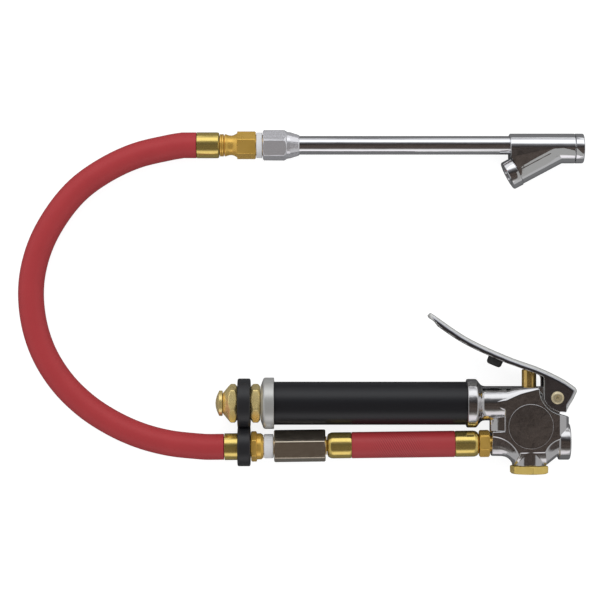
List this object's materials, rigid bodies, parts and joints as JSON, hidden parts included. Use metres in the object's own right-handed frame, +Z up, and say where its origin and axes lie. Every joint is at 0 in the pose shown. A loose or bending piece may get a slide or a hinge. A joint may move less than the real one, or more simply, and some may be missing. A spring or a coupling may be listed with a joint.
{
  "type": "inline tire inflator gun",
  "caption": "Inline tire inflator: lever valve on a tubular window gauge, short whip hose, long hose and dual-foot chuck.",
  "frame": {"origin": "on the surface the tool lies on, at the middle of its footprint without the long hose", "axes": "+X along the barrel towards the valve and along the chuck towards its nose, +Y from the gun to the chuck, +Z up from the bench"},
  "size_m": [0.3348, 0.203, 0.0303],
  "materials": {
    "cast_chrome": "polished casting",
    "chrome": "bright",
    "aluminium": "satin turned",
    "anodised_black": "satin",
    "black_plastic": "satin",
    "black_rubber": "matt",
    "brass": "bright",
    "dark_nickel": "dark nickel plated",
    "red_rubber": "satin",
    "tape": "white thread tape",
    "clear": "clear plastic",
    "drum_white": "printed scale",
    "spring_steel": "spring wire"
  },
  "bodies": {
    "gun": {"valve_body": "cast_chrome", "valve_cap": "brass", "valve_spring": "spring_steel", "barrel_sleeve": "anodised_black", "barrel_collar": "aluminium", "gauge_lens": "clear", "gauge_stud": "brass", "gauge_spring": "spring_steel", "nut_inner": "brass", "nut_outer": "brass", "hose_bracket": "black_plastic", "gauge_end_plug": "brass", "whip_nipple": "brass", "whip_ferrule_rear": "brass", "whip_ferrule_front": "brass", "whip_hose": "red_rubber", "whip_stem": "brass", "coupling": "dark_nickel", "tape_gun": "tape", "hose_nipple": "brass", "hose_ferrule_gun": "brass", "hose": "red_rubber", "hose_ferrule_chuck": "brass", "swivel_stem": "brass", "swivel_ring": "black_rubber"},
    "lever": {"lever": "cast_chrome", "lever_bumper": "black_rubber", "lever_screw": "brass"},
    "valve": {"valve_stem": "brass", "stem_ring": "black_rubber", "valve_seal": "black_rubber", "valve_poppet": "brass"},
    "gauge": {"indicator_drum": "drum_white", "gauge_piston": "black_plastic", "piston_cup": "black_rubber"},
    "chuck": {"swivel_body": "brass", "tape_chuck": "tape", "chuck_nut": "chrome", "chuck_tube": "chrome", "chuck_head": "chrome", "front_cap": "chrome", "front_washer": "black_rubber", "front_spring": "spring_steel", "reverse_cap": "chrome", "reverse_washer": "black_rubber", "reverse_spring": "spring_steel"},
    "front_pin": {"front_pin": "brass"},
    "reverse_pin": {"reverse_pin": "brass"}
  },
  "joints": [
    {"name": "lever_pivot", "type": "hinge", "parent": "gun", "child": "lever", "pos_m": [0.0971, -0.0564, 0.01515], "axis": [0, 0, 1], "range_deg": [0, 14], "stiffness_Nm_per_rad": 2},
    {"name": "valve_stroke", "type": "slide", "parent": "gun", "child": "valve", "axis": [0, -1, 0], "range_m": [0, 0.00391], "deforming": ["valve_spring"]},
    {"name": "gauge_slide", "type": "slide", "parent": "gun", "child": "gauge", "axis": [-1, 0, 0], "range_m": [0, 0.045], "stiffness_N_per_m": 5000, "deforming": ["gauge_spring"]},
    {"name": "chuck_swivel", "type": "hinge", "parent": "gun", "child": "chuck", "pos_m": [-0.0983, 0.0925, 0.0095], "axis": [1, 0, 0], "continuous": true},
    {"name": "front_pin_press", "type": "slide", "parent": "chuck", "child": "front_pin", "axis": [-1, 0, 0], "range_m": [0, 0.002], "stiffness_N_per_m": 500, "deforming": ["front_spring"]},
    {"name": "reverse_pin_press", "type": "slide", "parent": "chuck", "child": "reverse_pin", "axis": [0.8829, 0.4695, 0], "range_m": [0, 0.002], "stiffness_N_per_m": 500, "deforming": ["reverse_spring"]}
  ],
  "couplings": [
    {"joint": "valve_stroke", "follows": "lever_pivot", "m_per_rad": 0.016}
  ]
}
